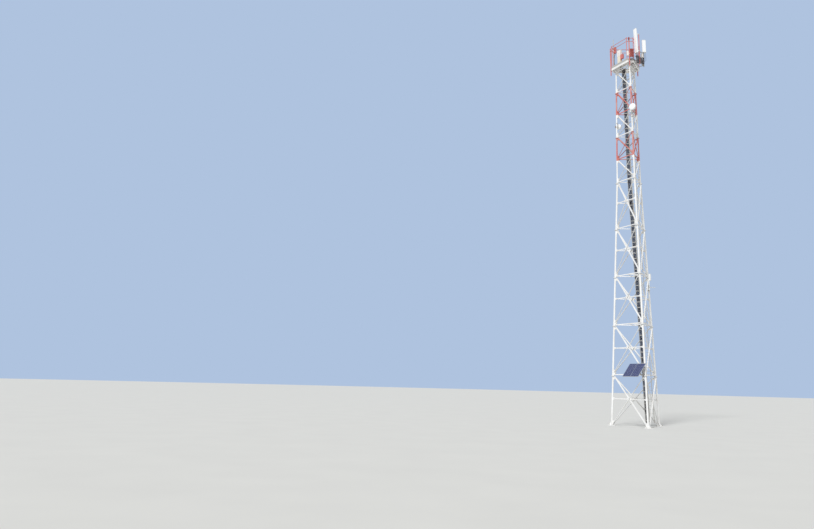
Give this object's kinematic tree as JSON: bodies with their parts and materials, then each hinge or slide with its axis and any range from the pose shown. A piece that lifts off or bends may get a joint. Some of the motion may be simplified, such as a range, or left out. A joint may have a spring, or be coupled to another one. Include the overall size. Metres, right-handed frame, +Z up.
{
  "type": "cell tower",
  "caption": "Three-legged tubular lattice tower with angle bracing, ladders and feeder cables inside, and a railed top platform that carries panel antennas and radio units.",
  "frame": {"origin": "centre of the underside of the front leg's base plate", "axes": "+Z up the tower, +Y from the front leg toward the back face that the other two legs carry, +X toward the right leg"},
  "size_m": [4.39, 4.0916, 33.0279],
  "materials": {
    "white_paint": "white road-marking style enamel over hot-dip galvanising, chalky",
    "red_paint": "signal red enamel over hot-dip galvanising, faded",
    "galvanised_steel": "hot-dip galvanised, dull",
    "cable_sheath": "black polyethylene sheath",
    "radome": "white glass-fibre radome",
    "radio_white_paint": "white powder coat on cast aluminium",
    "radio_red_paint": "red enamel on cast aluminium",
    "radio_dark_paint": "dark grey powder coat on cast aluminium",
    "cabinet_paint": "cream powder coat on sheet steel",
    "lamp_glass": "red pressed glass on a cast foot",
    "solar_glass": "dark blue cells under glass"
  },
  "bodies": {
    "root": {"leg_front_lower": "white_paint", "leg_right_lower": "white_paint", "leg_left_lower": "white_paint", "leg_front_upper": "red_paint", "leg_right_upper": "red_paint", "leg_left_upper": "red_paint", "bracing_back_lower": "white_paint", "bracing_left_lower": "white_paint", "bracing_right_lower": "white_paint", "bracing_back_upper": "red_paint", "bracing_left_upper": "red_paint", "bracing_right_upper": "red_paint", "plan_bracing": "white_paint", "climbing_ladder": "galvanised_steel", "cable_ladder": "galvanised_steel", "ladder_brackets": "galvanised_steel", "feeder_cables": "cable_sheath", "cable_clamps": "galvanised_steel", "platform_beams": "white_paint", "platform_grating": "galvanised_steel", "kick_plate": "galvanised_steel", "railing": "red_paint", "radio_pipe": "galvanised_steel", "corner_pole_front": "red_paint", "corner_pole_right": "red_paint", "corner_pole_left": "red_paint", "obstruction_lamp": "lamp_glass", "sector_frame": "galvanised_steel", "tall_antenna_pipe": "red_paint", "short_antenna_pipe": "galvanised_steel", "tall_antenna": "radome", "short_antenna": "radome", "radio_white": "radio_white_paint", "radio_red": "radio_red_paint", "radio_front": "radio_red_paint", "radios_dark": "radio_dark_paint", "equipment_box": "cabinet_paint", "dish": "radome", "dish_arm": "galvanised_steel", "small_dish": "radome", "small_dish_arm": "galvanised_steel", "side_antenna": "radome", "side_antenna_arm": "galvanised_steel", "solar_modules": "solar_glass", "solar_frame": "galvanised_steel"}
  },
  "joints": []
}
